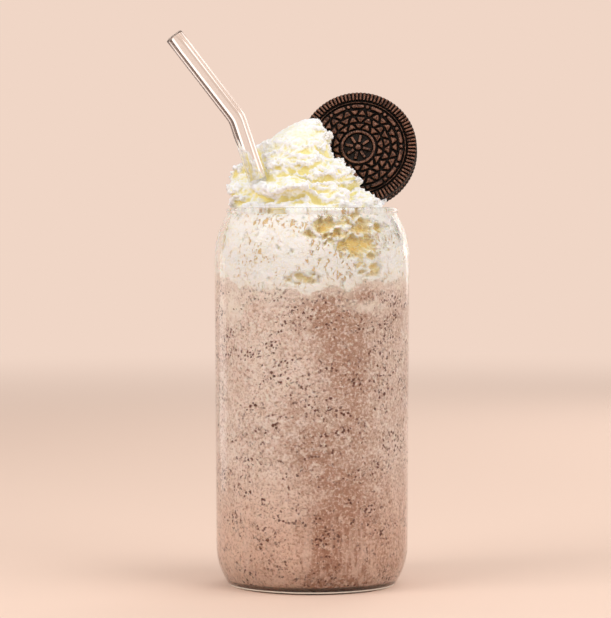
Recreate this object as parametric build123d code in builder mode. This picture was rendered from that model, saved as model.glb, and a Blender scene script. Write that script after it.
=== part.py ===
from build123d import *
from math import cos, pi, radians, sin, tan
import os

# A cookies-and-cream milkshake in a can-shaped glass, topped with piped whipped cream, a bent
# glass straw and a dark sandwich cookie that stands in the cream.
# Millimetres, +Z up. The origin is on the glass's axis, on the surface that the glass stands on.
# +X points to the cookie's side, and -Y is the front.

# Glass
glass_height = 145.0
body_radius = 37.5          # outside, just under the shoulder
heel_radius = 36.9          # outside, where the heel's curve starts
foot_radius = 32.3          # outside, at the foot's lower edge
neck_radius = 32.8          # outside, under the lip
wall = 2.2
base_thickness = 3.4
shoulder_drop = 18.8        # from the top of the lip down to the full body
neck_drop = 2.8             # from the top of the lip down to the shoulder
heel_height = 15.0
foot_edge = 0.6             # height and width of the foot's small bevel
lip_bulge = 0.3             # how far the lip stands out past the neck
punt_radius = 28.0          # hollow under the base, at its mouth
punt_top_radius = 19.0
punt_depth = 1.0
snug = 0.1                  # clearance between the food and what it fills or surrounds

# Milkshake and cream: the level between them, measured down from the top of the lip
fill_drop = 32.0            # at the middle
fill_rise = 4.5             # how much higher it lies at the sides

# Whipped cream above the lip: tiers of a fluted swirl, each centred a little to the left
flute_count = 13
flute_depth = 0.07          # share of a tier's radius
flute_twist = 9.0           # degrees from one section of a tier to the next
tier_overlap = 2.5
tiers = [                   # centre x, centre y, radius, height, tilt in degrees
    (-0.6, 0.4, 32.0, 10.5, 0.0),
    (-3.2, 0.2, 27.2, 10.5, -3.0),
    (-5.0, -0.4, 20.6, 10.5, 4.0),
    (-5.6, -0.6, 13.8, 10.4, -5.0),
]
tier_bulge = [(0.0, 0.90), (0.3, 1.0), (0.62, 0.98), (0.86, 0.86), (1.0, 0.66)]  # height share, radius share

# Sandwich cookie
cookie_radius = 22.6
wafer_thickness = 3.4
filling_thickness = 2.7
filling_inset = 2.8         # how far the filling stays back from the wafers' rim
relief = 0.55               # height of the raised pattern
rib_count = 90
rib_length = 3.7
rib_width = 0.8
dash_count = 14
dash_radius = 16.6
dash_length = 4.6
dash_width = 1.1
wedge_rings = [(14.0, 15), (11.2, 12), (8.5, 9)]    # radius of each ring, and its pairs of wedges
wedge_side = 2.5
wedge_base = 2.1
medal_radius = 6.4
medal_line = 0.8
ray_count = 8
ray_length = 3.0
ray_middle = 3.4            # radius of the rays' middles
cookie_x = 17.7             # the front wafer's centre, from the glass's axis
cookie_y = 2.0
cookie_seat = 0.7           # above the top of the lip; a cookie radius more is the front wafer's centre
cookie_lean = 17.0          # degrees that the face looks up
cookie_turn = 3.5           # degrees that the face looks to the left
cookie_roll = -12.0         # degrees that the pattern is turned in its own plane

# Straw
straw_diameter = 7.0
straw_bore = 3.8
straw_length = 220.0        # along its centreline
straw_bend = 13.0           # radius of the bend's centreline
straw_polish = 0.5          # rounding of the two ends
straw_corner_x = -28.5      # where the two straight runs would meet
straw_corner_y = -12.5
straw_corner_rise = 34.0    # above the top of the lip
straw_tip_run = (-23.5, -7.6, 30.5)   # from that corner to the tip
straw_lean_side = 18.3      # degrees from upright of the lower run, seen from the front
straw_lean_front = 7.0      # the same, seen from the side


# ---- what follows from those sizes ----
lip_round = (wall + lip_bulge) / 2
neck_inside = neck_radius - wall
shoulder_z = glass_height - shoulder_drop
neck_z = glass_height - neck_drop
lip_z = glass_height - lip_round
fill_z = glass_height - fill_drop
floor_radius = foot_radius - wall
cookie_thickness = 2 * wafer_thickness + filling_thickness
cookie_rise = cookie_radius + cookie_seat
beyond = 2 * glass_height   # farther out than anything it cuts

cookie_normal = Vector(
    -sin(radians(cookie_turn)) * cos(radians(cookie_lean)),
    -cos(radians(cookie_turn)) * cos(radians(cookie_lean)),
    sin(radians(cookie_lean)),
)
cookie_across = Vector(0, 0, 1).cross(cookie_normal).normalized()
cookie_across = cookie_across.rotate(Axis((0, 0, 0), cookie_normal), cookie_roll)
cookie_front = Plane(
    origin=(cookie_x, cookie_y, glass_height + cookie_rise),
    x_dir=cookie_across,
    z_dir=cookie_normal,
)

straw_corner = Vector(straw_corner_x, straw_corner_y, glass_height + straw_corner_rise)
straw_tip = straw_corner + Vector(*straw_tip_run)
straw_down = Vector(tan(radians(straw_lean_side)), tan(radians(straw_lean_front)), -1).normalized()
straw_foot = straw_corner + straw_down * (straw_length - Vector(*straw_tip_run).length)


def cavity_outline(gap):
    """Half the inside of the glass, from the floor to the mouth, less a gap all round."""
    with BuildSketch() as outline:
        with BuildLine():
            taper = Line(
                (body_radius - wall - gap, shoulder_z), (heel_radius - wall - gap, heel_height)
            )
            shoulder = TangentArc(
                taper @ 0, (neck_inside - gap, neck_z), tangent=(taper % 0) * -1
            )
            heel = TangentArc(
                taper @ 1, (floor_radius - gap, base_thickness + gap), tangent=taper % 1
            )
            Polyline(
                shoulder @ 1,
                (neck_inside - gap, glass_height),
                (0, glass_height),
                (0, base_thickness + gap),
                heel @ 1,
            )
        make_face()
    return outline.sketch


def beyond_fill(far_z, gap):
    """The region from gap under the line where milkshake and cream meet, up or down to far_z."""
    side_z = fill_z + fill_rise - gap
    with BuildSketch() as region:
        with BuildLine():
            level = ThreePointArc((-body_radius, side_z), (0, fill_z - gap), (body_radius, side_z))
            Polyline(level @ 1, (body_radius, far_z), (-body_radius, far_z), level @ 0)
        make_face()
    return region.sketch


def fluted_ring(radius, turn):
    """A closed wavy outline: a circle with flute_count rounded ridges."""
    step = pi / flute_count
    points = []
    for i in range(2 * flute_count):
        reach = radius * (1 if i % 2 else 1 - flute_depth)
        angle = i * step + radians(turn)
        points.append((reach * cos(angle), reach * sin(angle)))
    with BuildSketch() as ring:
        with BuildLine():
            Spline(*points, periodic=True)
        make_face()
    return ring.sketch


def cookie_pattern():
    """The raised pattern of a wafer: a ribbed rim, dashes, rings of wedges and a plain sunburst."""
    with BuildSketch() as pattern:
        with PolarLocations(cookie_radius - rib_length / 2, rib_count):
            Rectangle(rib_length, rib_width)
        with PolarLocations(dash_radius, dash_count):
            SlotOverall(dash_length, dash_width, rotation=90)
        for radius, pairs in wedge_rings:
            with PolarLocations(radius, pairs):
                Triangle(a=wedge_base, b=wedge_side, c=wedge_side, rotation=90)
            with PolarLocations(radius, pairs, start_angle=180 / pairs):
                Triangle(a=wedge_base, b=wedge_side, c=wedge_side, rotation=-90)
        Circle(medal_radius)
        Circle(medal_radius - medal_line, mode=Mode.SUBTRACT)
        with PolarLocations(ray_middle, ray_count):
            SlotOverall(ray_length, medal_line)
        Circle(medal_line)
    return pattern.sketch


def wafer(outer_face):
    """A wafer that lies behind outer_face, with its raised pattern up to that plane."""
    with BuildPart() as made:
        with BuildSketch(outer_face.offset(-wafer_thickness)):
            Circle(cookie_radius)
        extrude(amount=wafer_thickness - relief)
        with BuildSketch(outer_face.offset(-relief)):
            add(cookie_pattern())
        extrude(amount=relief)
    return made.part


# Glass: a shouldered tumbler with a rounded lip and a shallow hollow under its base
with BuildPart() as glass:
    with BuildSketch(Plane.XZ):
        with BuildLine():
            taper = Line((heel_radius, heel_height), (body_radius, shoulder_z))
            shoulder = TangentArc(taper @ 1, (neck_radius, neck_z), tangent=taper % 1)
            heel = TangentArc(taper @ 0, (foot_radius, foot_edge), tangent=(taper % 0) * -1)
            Polyline(
                shoulder @ 1,
                (neck_radius, lip_z),
                (0, lip_z),
                (0, 0),
                (foot_radius - foot_edge, 0),
                heel @ 1,
            )
        make_face()
        add(cavity_outline(gap=0), mode=Mode.SUBTRACT)
        with Locations((neck_inside + lip_round, lip_z)):
            Circle(lip_round)
    revolve(axis=Axis.Z)
    Cone(
        punt_radius, punt_top_radius, punt_depth,
        align=(Align.CENTER, Align.CENTER, Align.MIN), mode=Mode.SUBTRACT,
    )
glass.part.label = "glass"

# Straw: a thick-walled glass tube with one bend
with BuildPart() as straw:
    with BuildLine() as straw_route:
        FilletPolyline(straw_tip, straw_corner, straw_foot, radius=straw_bend)
    with BuildSketch(Plane(origin=straw_tip, z_dir=straw_route.wire() % 0)):
        Circle(straw_diameter / 2)
        Circle(straw_bore / 2, mode=Mode.SUBTRACT)
    sweep(path=straw_route.wire())
    straw_ends = straw.faces().filter_by(GeomType.PLANE)
    fillet(straw_ends.edges(), straw_polish)
straw.part.label = "straw"

# The straw and its bore as one solid rod, which clears its way through the milkshake and the cream
with BuildPart() as straw_way:
    add(straw_route.wire())
    with BuildSketch(Plane(origin=straw_tip, z_dir=straw_route.wire() % 0)):
        Circle(straw_diameter / 2 + snug)
    sweep(path=straw_route.wire())

# Milkshake: what fills the glass up to the cream
with BuildPart() as milkshake:
    with BuildSketch(Plane.XZ):
        add(cavity_outline(gap=snug))
    revolve(axis=Axis.Z)
    with BuildSketch(Plane.XZ):
        add(beyond_fill(far_z=beyond, gap=snug))
    extrude(amount=beyond, both=True, mode=Mode.SUBTRACT)
    add(straw_way.part, mode=Mode.SUBTRACT)
milkshake.part.label = "milkshake"

# Sandwich cookie: two embossed wafers and the filling between them
cookie_back = Plane(
    origin=cookie_front.origin - cookie_normal * cookie_thickness,
    x_dir=cookie_across,
    z_dir=cookie_normal * -1,
)
front_wafer = wafer(cookie_front)
front_wafer.label = "front_wafer"
back_wafer = wafer(cookie_back)
back_wafer.label = "back_wafer"

with BuildPart() as filling:
    with BuildSketch(cookie_front.offset(-wafer_thickness - filling_thickness)):
        Circle(cookie_radius - filling_inset)
    extrude(amount=filling_thickness)
filling.part.label = "cookie_filling"

# Whipped cream: it fills the top of the glass and stands over the lip as a fluted swirl
with BuildPart() as cream:
    with BuildSketch(Plane.XZ):
        add(cavity_outline(gap=snug))
    revolve(axis=Axis.Z)
    with BuildSketch(Plane.XZ):
        add(beyond_fill(far_z=-beyond, gap=0))
    extrude(amount=beyond, both=True, mode=Mode.SUBTRACT)
    tier_z = glass_height
    for number, (middle_x, middle_y, radius, height, tilt) in enumerate(tiers):
        tier_foot = Plane(
            origin=(middle_x, middle_y, tier_z),
            z_dir=(sin(radians(tilt)), 0, cos(radians(tilt))),
        )
        for section, (up, share) in enumerate(tier_bulge):
            with BuildSketch(tier_foot.offset(up * height)):
                add(fluted_ring(radius * share, (section + 2 * number) * flute_twist))
        loft()
        tier_z += height - tier_overlap
    with BuildSketch(cookie_front.offset(-cookie_thickness - snug)):
        Circle(cookie_radius + snug)
    extrude(amount=cookie_thickness + 2 * snug, mode=Mode.SUBTRACT)
    add(straw_way.part, mode=Mode.SUBTRACT)
cream.part.label = "whipped_cream"

os.makedirs("parts", exist_ok=True)
export_step(glass.part, "parts/glass.step")
export_step(milkshake.part, "parts/milkshake.step")
export_step(cream.part, "parts/whipped_cream.step")
export_step(straw.part, "parts/straw.step")
export_step(front_wafer, "parts/front_wafer.step")
export_step(filling.part, "parts/cookie_filling.step")
export_step(back_wafer, "parts/back_wafer.step")
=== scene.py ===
import logging
import math
from dataclasses import dataclass
from enum import Enum
from functools import cached_property
from typing import Sequence

import bmesh
import bpy
import numpy as np
from bmesh.types import BMEdge, BMesh, BMVert
from bpy.types import ID, Material, NodeSocket, Object, World
from mathutils import Euler, Matrix, Vector, noise


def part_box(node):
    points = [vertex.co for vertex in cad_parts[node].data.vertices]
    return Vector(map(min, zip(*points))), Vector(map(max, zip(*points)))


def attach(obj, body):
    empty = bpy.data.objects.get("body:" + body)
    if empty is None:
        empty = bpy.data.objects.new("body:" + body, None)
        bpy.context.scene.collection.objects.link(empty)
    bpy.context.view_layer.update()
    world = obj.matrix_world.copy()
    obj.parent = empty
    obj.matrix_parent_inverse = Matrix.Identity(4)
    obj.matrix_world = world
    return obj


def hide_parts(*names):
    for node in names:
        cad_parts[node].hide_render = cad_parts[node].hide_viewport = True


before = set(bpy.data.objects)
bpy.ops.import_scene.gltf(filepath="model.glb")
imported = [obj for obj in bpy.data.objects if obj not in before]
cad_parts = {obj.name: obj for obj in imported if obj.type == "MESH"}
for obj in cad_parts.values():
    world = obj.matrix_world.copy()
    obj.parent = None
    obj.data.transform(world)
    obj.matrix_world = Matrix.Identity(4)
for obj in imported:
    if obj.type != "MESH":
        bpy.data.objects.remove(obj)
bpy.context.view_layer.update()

logging.basicConfig(level=logging.INFO, format="%(relativeCreated)7d ms  %(message)s")
LOG = logging.getLogger("milkshake")

MM = 0.001
SAME = 1e-7  # metres that don't count as a distance
Triple = tuple[float, float, float]
Colour = Triple
Point = tuple[float, float]
Outline = list[Point]


def srgb(red: int, green: int, blue: int) -> Colour:
    """Turn a colour as it is written for a screen into scene-linear light.

    Args:
        red: 0 to 255.
        green: 0 to 255.
        blue: 0 to 255.

    Returns:
        The three linear channels, 0 to 1.
    """
    parts = [value / 255 for value in (red, green, blue)]
    return tuple(p / 12.92 if p <= 0.04045 else ((p + 0.055) / 1.055) ** 2.4 for p in parts)


def fade(value: np.ndarray, low: float | np.ndarray, high: float | np.ndarray) -> np.ndarray:
    """Return a smooth step from 0 at low to 1 at high, which may be the lower number."""
    share = np.clip((value - low) / (high - low), 0.0, 1.0)
    return share * share * (3 - 2 * share)


# ---------------------------------------------------------------- shader maths


class Signal:
    """A number that varies over a surface, with Python's own operators."""

    def __init__(self, shader: "Shader", socket: NodeSocket) -> None:
        """Wrap one output socket of a shader's node."""
        self.shader = shader
        self.socket = socket

    def _join(self, operation: str, first: object, second: object) -> "Signal":
        """Add one Math node for an operator."""
        return self.shader.node("ShaderNodeMath", {"operation": operation}, {0: first, 1: second})

    def __add__(self, other: "Signal | float") -> "Signal":
        """Return self + other."""
        return self._join("ADD", self, other)

    def __radd__(self, other: "Signal | float") -> "Signal":
        """Return other + self."""
        return self._join("ADD", other, self)

    def __sub__(self, other: "Signal | float") -> "Signal":
        """Return self - other."""
        return self._join("SUBTRACT", self, other)

    def __rsub__(self, other: "Signal | float") -> "Signal":
        """Return other - self."""
        return self._join("SUBTRACT", other, self)

    def __mul__(self, other: "Signal | float") -> "Signal":
        """Return self * other."""
        return self._join("MULTIPLY", self, other)

    def __rmul__(self, other: "Signal | float") -> "Signal":
        """Return other * self."""
        return self._join("MULTIPLY", other, self)

    def rise(self, low: float, high: float) -> "Signal":
        """Return a smooth step from 0 at low to 1 at high."""
        span = {"Value": self, "From Min": low, "From Max": high}
        return self.shader.node("ShaderNodeMapRange", {"interpolation_type": "SMOOTHSTEP"}, span)


class Shader:
    """The node tree of one material or world, built by adding nodes and joining their sockets."""

    def __init__(self, owner: Material | World, output: str = "ShaderNodeOutputMaterial") -> None:
        """Empty the owner's tree, and start it with its output.

        Args:
            owner: the material or world.
            output: the type name of its output node.
        """
        owner.use_nodes = True
        self.owner = owner
        self.tree = owner.node_tree
        self.tree.nodes.clear()
        self.output = self.tree.nodes.new(output)

    def node(
        self,
        kind: str,
        settings: dict[str, object] | None = None,
        inputs: dict[str | int, object] | None = None,
        out: str | int = 0,
    ) -> Signal:
        """Add a node.

        Args:
            kind: the node's type name.
            settings: its own properties, which are set first.
            inputs: the value or link of each named or numbered input.
            out: which output to return.

        Returns:
            The chosen output, wrapped.
        """
        made = self.tree.nodes.new(kind)
        for key, value in (settings or {}).items():
            setattr(made, key, value)
        for key, value in (inputs or {}).items():
            socket = made.inputs[key]
            if isinstance(value, Signal):
                self.tree.links.new(value.socket, socket)
            elif socket.type == "RGBA":
                socket.default_value = (*value, 1.0)
            else:
                socket.default_value = value
        return Signal(self, made.outputs[out])

    @cached_property
    def place(self) -> Signal:
        """Return the point on the object, in metres."""
        return self.node("ShaderNodeTexCoord", out="Object")

    def axis(self, index: int) -> Signal:
        """Return the point's place along one axis, in metres."""
        return self.node("ShaderNodeSeparateXYZ", {}, {0: self.place}, out=index)

    def attribute(self, name: str) -> Signal:
        """Return a number stored on the mesh's vertices."""
        return self.node("ShaderNodeAttribute", {"attribute_name": name}, out="Fac")

    def cloud(
        self,
        size: float,
        detail: float = 3.0,
        rough: float = 0.55,
        bend: float = 0.0,
        scale: Triple = (1.0, 1.0, 1.0),
        turn: float = 0.0,
    ) -> Signal:
        """Add soft noise.

        Args:
            size: how far its blotches are across, in metres.
            detail: how many finer copies are added.
            rough: how strong the finer copies are.
            bend: how far the blotches are twisted.
            scale: how much finer it is along each axis.
            turn: how far it is turned about the axis that points back, in radians.

        Returns:
            The noise, near 0 to 1.
        """
        point = self.place
        if turn or scale != (1.0, 1.0, 1.0):
            turned = {"Vector": point, "Rotation": (0.0, turn, 0.0), "Scale": scale}
            point = self.node("ShaderNodeMapping", {}, turned)
        shape = {"Scale": 1 / size, "Detail": detail, "Roughness": rough, "Distortion": bend}
        return self.node("ShaderNodeTexNoise", {}, {"Vector": point, **shape})

    def cells(self, size: float) -> Signal:
        """Return the distance to the nearest of scattered points, in cells of size metres."""
        spots = {"Vector": self.place, "Scale": 1 / size}
        return self.node("ShaderNodeTexVoronoi", {}, spots, out="Distance")

    def blend(
        self, share: Signal, first: Signal | Colour, second: Signal | Colour, how: str = "MIX"
    ) -> Signal:
        """Mix two colours.

        Args:
            share: how much of the second shows, 0 to 1.
            first: the colour where the share is 0.
            second: the colour where the share is 1.
            how: the name of the way of mixing.

        Returns:
            The mixed colour.
        """
        settings = {"data_type": "RGBA", "blend_type": how}
        return self.node("ShaderNodeMix", settings, {0: share, 6: first, 7: second}, out=2)

    def layered(self, colour: Colour, *layers: tuple[Signal, Colour]) -> Signal:
        """Lay colours over a first one.

        Args:
            colour: the first colour.
            layers: how much each further colour covers, 0 to 1, and that colour, from the lowest.

        Returns:
            The colour that shows.
        """
        for share, over in layers:
            colour = self.blend(share, colour, over)
        return colour

    def either(self, share: Signal, first: Signal, second: Signal) -> Signal:
        """Return the first shader where share is 0, and the second where it is 1."""
        return self.node("ShaderNodeMixShader", {}, {0: share, 1: first, 2: second})

    def relief(self, height: Signal, depth: float, strength: float) -> Signal:
        """Return a bumped normal from a height of 0 to 1 that stands for depth metres."""
        sizes = {"Height": height, "Distance": depth, "Strength": strength}
        return self.node("ShaderNodeBump", {}, sizes)

    def looked_at(self) -> Signal:
        """Tell what the camera sees from what light itself meets.

        Returns:
            1 where the camera looks, straight or by way of glass, and 0 elsewhere.
        """
        kinds = ("Is Camera Ray", "Is Transmission Ray", "Is Glossy Ray")
        straight, through, mirrored = (self.node("ShaderNodeLightPath", out=kind) for kind in kinds)
        return (straight + through + mirrored).rise(0.0, 1.0)

    def principled(self, inputs: dict[str | int, object]) -> Signal:
        """Return a Principled shader with these inputs."""
        return self.node("ShaderNodeBsdfPrincipled", {}, inputs)

    def finish(self, surface: Signal) -> Material | World:
        """Join the surface to the output, and return the material or world."""
        self.tree.links.new(surface.socket, self.output.inputs["Surface"])
        return self.owner

    def coat(self, inputs: dict[str | int, object]) -> Material:
        """Finish the material as one Principled shader with these inputs, and return it."""
        return self.finish(self.principled(inputs))


# ---------------------------------------------------------------- finishes


@dataclass(frozen=True)
class ClearGlass:
    """Colourless polished glass that lets lamp light through to what it holds."""

    name: str
    tint: Colour = srgb(250, 252, 250)
    ior: float = 1.45
    smeared: float = 0.012
    shadow: Colour = (0.93, 0.93, 0.92)

    def make(self) -> Material:
        """Make the finish.

        Returns:
            Its material.
        """
        shader = Shader(bpy.data.materials.new(self.name))
        smears = shader.cloud(0.02, 2.0, scale=(1.0, 1.0, 0.35))
        body = shader.principled({
            "Base Color": self.tint,
            "Roughness": smears.rise(0.45, 0.8) * self.smeared,
            "IOR": self.ior,
            "Transmission Weight": 1.0,
        })
        through = shader.node("ShaderNodeBsdfTransparent", {}, {"Color": self.shadow})
        shadow_ray = shader.node("ShaderNodeLightPath", out="Is Shadow Ray")
        return shader.finish(shader.either(shadow_ray, body, through))


@dataclass(frozen=True)
class GlintRingFinish:
    """A pale, diffuse ring inside the glass's foot: a painted highlight that stands for the bright line
    at its base.
    """

    colour: Colour = srgb(248, 240, 226)
    shade: Colour = srgb(226, 214, 196)

    def make(self) -> Material:
        """Make the finish.

        Returns:
            Its material.
        """
        shader = Shader(bpy.data.materials.new("painted_glint_ring"))
        grain = shader.cloud(0.0006, 2.0)
        colour = shader.blend(grain.rise(0.4, 0.7) * 0.15, self.colour, self.shade)
        return shader.coat({"Base Color": colour, "Roughness": grain * 0.2 + 0.5})


@dataclass(frozen=True)
class DrinkFinish:
    """What is seen through the glass: frothy pale chocolate drink below, pressed cream above, with
    painted shade across the drink and in the cream's hollows and pores.
    """

    light: Colour = srgb(247, 229, 218)
    dark: Colour = srgb(190, 151, 130)
    froth: Colour = srgb(252, 241, 234)
    shade: Colour = srgb(166, 126, 104)
    pit: Colour = srgb(94, 30, 0)
    speck: Colour = srgb(78, 30, 8)
    darker_near_bottom: Colour = srgb(242, 223, 212)
    mixed: Colour = srgb(251, 240, 229)
    cream: Colour = srgb(251, 253, 255)
    cream_shade: Colour = srgb(247, 247, 246)
    # The fold and deep colours are painted shade in the cream's hollows, darker and yellower.
    fold: Colour = srgb(248, 233, 184)
    deep: Colour = srgb(243, 209, 114)
    shred: Colour = srgb(255, 243, 204)
    # The pore colour is painted shade in the pinholes.
    pore_shade: Colour = srgb(216, 178, 108)

    def drink(self, shader: Shader) -> tuple[Signal, Signal]:
        """Paint the drink, from its broad tones and its painted shade down to its specks.

        Args:
            shader: the material's nodes.

        Returns:
            Its colour, and its height for the bump.
        """
        tone = shader.cloud(0.03, 2.0, 0.5, 0.5)
        # Painted shade and light: along the object's X axis the drink is painted darker from the left
        # to just right of the middle, and lighter again near the right edge, as the lamps light it; the
        # tone noise makes this uneven.
        across = shader.axis(0) + (tone - 0.5) * 0.03
        lean = across.rise(-0.015, 0.012) - across.rise(0.015, 0.029) * 0.7
        curds = shader.cloud(0.0042, 3.0, 0.6, 1.0)
        grain = shader.cloud(0.001, 3.0, 0.7, 0.3)
        bands = shader.cloud(0.012, 3.0, 0.65, 0.8, scale=(1.0, 1.0, 1.7))
        uneven = shader.cloud(0.0013, 3.0, 0.65, 0.8)
        pits = shader.cells(0.0015) + (uneven - 0.5) * 1.3 - (bands - 0.5) * 0.3
        pits = pits.rise(0.34, 0.22) * (bands.rise(0.46, 0.6) * 0.86 + 0.14)
        clots = shader.cloud(0.0023, 4.0, 0.72, 2.2)
        dots = clots.rise(0.61, 0.66) * bands.rise(0.46, 0.56)
        upright = shader.axis(2)
        smears = shader.cloud(0.0024, 2.0, scale=(1.0, 1.0, 0.1))
        smears = smears.rise(0.48, 0.66) * upright.rise(0.036, 0.02)
        colour = shader.layered(
            self.light,
            # the dark colour covers random tone and the painted shade from lean
            (tone.rise(0.38, 0.66) * 0.3 + lean * 0.8, self.dark),
            (curds.rise(0.5, 0.68) * 0.5, self.froth),
            (curds.rise(0.5, 0.34) * 0.3, self.shade),
            (grain.rise(0.5, 0.66) * 0.75, self.froth),
            (grain.rise(0.5, 0.34) * 0.7, self.shade),
            (pits * 0.95, self.pit),
            (dots * 0.85, self.speck),
            (smears * 0.5, self.froth),
        )
        # Darker towards the bottom of the glass.
        colour = shader.blend(upright.rise(0.06, 0.014), colour, self.darker_near_bottom, "MULTIPLY")
        colour = shader.blend(shader.attribute("milk") + (curds - 0.5), colour, self.mixed)
        return colour, grain * 1.6 + curds * 0.7 - pits - dots * 0.8

    def pressed(self, shader: Shader) -> tuple[Signal, Signal]:
        """Paint the cream that is pressed against the glass, with painted shade in its torn hollows and
        pores.

        Args:
            shader: the material's nodes.

        Returns:
            Its colour, and its height for the bump.
        """
        torn = shader.cloud(0.0026, 4.0, 0.65, 0.9, scale=(1.0, 1.0, 1.5))
        wide = shader.cloud(0.013, 3.0, 0.6, 0.5)
        shreds = shader.cloud(0.0045, 4.0, 0.7, 1.4, scale=(1.0, 1.0, 0.7))
        # Painted shade: the deeper the cream lies in from the glass, the darker and yellower it is
        # painted, with the shreds inside the hollows a paler yellow.
        depth = shader.attribute("fold") + (torn - 0.5) * 1.1 + (shreds - 0.5) * 1.2
        strands = shader.cloud(0.0021, 3.0, 0.7, 1.6, scale=(0.8, 0.8, 1.4))
        strands = strands.rise(0.52, 0.6) * depth.rise(0.1, 0.5)
        holes = shader.cloud(0.0014, 2.0, 0.55, 0.8, scale=(1.0, 1.0, 0.6), turn=0.9)
        pores = holes.rise(0.56, 0.63) * wide.rise(0.42, 0.56)
        crumbly = shader.cloud(0.0008, 3.0, 0.7)
        colour = shader.layered(
            self.cream,
            (wide.rise(0.4, 0.68) * 0.8, self.cream_shade),
            (torn.rise(0.52, 0.66) * 0.25, self.fold),
            (depth.rise(0.15, 0.5), self.fold),
            (depth.rise(0.55, 1.1) * 0.85, self.deep),
            (strands * 0.7, self.shred),
            # the pores are painted darker, as painted shade in the pinholes, besides their bump
            (pores * 0.85, self.pore_shade),
            (crumbly.rise(0.52, 0.36) * 0.25, self.fold),
        )
        return colour, torn * 1.5 + crumbly * 0.7 - pores * 1.2 + strands * 0.6

    def make(self) -> Material:
        """Make the finish, which changes from drink to cream along the level.

        Returns:
            Its material.
        """
        shader = Shader(bpy.data.materials.new("drink"))
        drink, drink_height = self.drink(shader)
        cream, cream_height = self.pressed(shader)
        ragged = (shader.cloud(0.0065, 5.0, 0.65, 0.9) - 0.5) * 11.0
        above = shader.attribute("above") + ragged
        drink = shader.blend(above.rise(-7.0, 0.5) * 0.5, drink, self.mixed)
        cream = shader.blend(above.rise(6.0, -0.5) * 0.55, cream, self.mixed)
        over = above.rise(-0.7, 0.7)
        height = drink_height * (1 - over) + cream_height * over
        return shader.coat({
            "Base Color": shader.blend(over, drink, cream),
            "Roughness": 0.5,
            "Subsurface Weight": 0.15,
            "Subsurface Scale": 0.002,
            "Normal": shader.relief(height, 0.0005, 0.8),
        })


@dataclass(frozen=True)
class CreamFinish:
    """Piped whipped cream: ivory on its crests, with painted shade, butter yellow, in its folds."""

    crest: Colour = srgb(254, 253, 253)
    body: Colour = srgb(250, 247, 228)
    # The fold and deep colours are painted shade in the folds.
    fold: Colour = srgb(244, 231, 158)
    deep: Colour = srgb(232, 203, 104)

    def make(self) -> Material:
        """Make the finish.

        Returns:
            Its material.
        """
        shader = Shader(bpy.data.materials.new("whipped_cream"))
        torn = shader.cloud(0.0022, 4.0, 0.65, 0.5)
        patch = shader.cloud(0.009, 2.0, 0.5, 0.6)
        # Painted shade: the fold mark, taken from how hollow the mound is, darkens the colour from the
        # crest white through the body and fold colours to deep yellow.
        depth = shader.attribute("fold") + (torn - 0.5) * 0.35 + (patch - 0.5) * 0.5
        colour = shader.layered(
            self.crest,
            (depth.rise(0.05, 0.35), self.body),
            (depth.rise(0.3, 0.6), self.fold),
            (depth.rise(0.75, 1.2) * 0.85, self.deep),
        )
        grain = shader.cloud(0.0006, 3.0, 0.7)
        return shader.coat({
            "Base Color": colour,
            "Roughness": torn * 0.2 + 0.42,
            "Subsurface Weight": 0.12,
            "Subsurface Radius": (1.0, 0.85, 0.6),
            "Subsurface Scale": 0.001,
            "Normal": shader.relief(grain * 0.8 + torn * 0.8, 0.0006, 0.9),
        })


@dataclass(frozen=True)
class WaferFinish:
    """Dry, almost black cocoa biscuit, with painted shade down in its pattern and a painted highlight,
    browner, on the upper slopes of its raised spots.
    """

    # The near-black low colour is partly painted shade down in the pattern; the lighter brown after it
    # is a painted highlight on the relief's upper slopes.
    low: Colour = srgb(5, 2, 1)
    painted_edge_highlight: Colour = srgb(134, 93, 74)
    high: Colour = srgb(52, 29, 21)
    crumb: Colour = srgb(128, 94, 76)

    def make(self) -> Material:
        """Make the finish.

        Returns:
            Its material.
        """
        shader = Shader(bpy.data.materials.new("dark_wafer"))
        worn = shader.attribute("worn")
        grain = shader.cloud(0.0005, 3.0, 0.7)
        blotch = shader.cloud(0.004)
        # Painted light: near black where the relief is low, partly painted shade on a biscuit that is
        # dark anyway; the lighter brown on the relief's upper slopes is a painted highlight; its crowns
        # take a darker brown.
        share = worn + (blotch - 0.5) * 0.5 + (grain - 0.5) * 0.4
        dust = shader.cells(0.0009).rise(0.22, 0.1) * grain.rise(0.5, 0.7)
        colour = shader.layered(
            self.low,
            (share.rise(0.5, 0.92), self.painted_edge_highlight),
            (share.rise(0.9, 1.05), self.high),
            (dust * 0.5, self.crumb),
        )
        return shader.coat({
            "Base Color": colour,
            "Roughness": blotch * 0.16 + 0.5 - worn * 0.36,
            "Specular IOR Level": 0.4,
            "Normal": shader.relief(grain * 0.5 + dust * 0.3 + worn * 1.6, 0.0006, 0.9),
        })


@dataclass(frozen=True)
class FillingFinish:
    """The cookie's set white filling."""

    base: Colour = srgb(236, 226, 208)
    shade: Colour = srgb(214, 198, 172)

    def make(self) -> Material:
        """Make the finish.

        Returns:
            Its material.
        """
        shader = Shader(bpy.data.materials.new("cookie_filling"))
        grain = shader.cloud(0.0008, 3.0, 0.6)
        return shader.coat({
            "Base Color": shader.blend(grain.rise(0.35, 0.7), self.shade, self.base),
            "Roughness": grain * 0.2 + 0.5,
            "Normal": shader.relief(grain, 0.0002, 0.6),
        })


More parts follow.
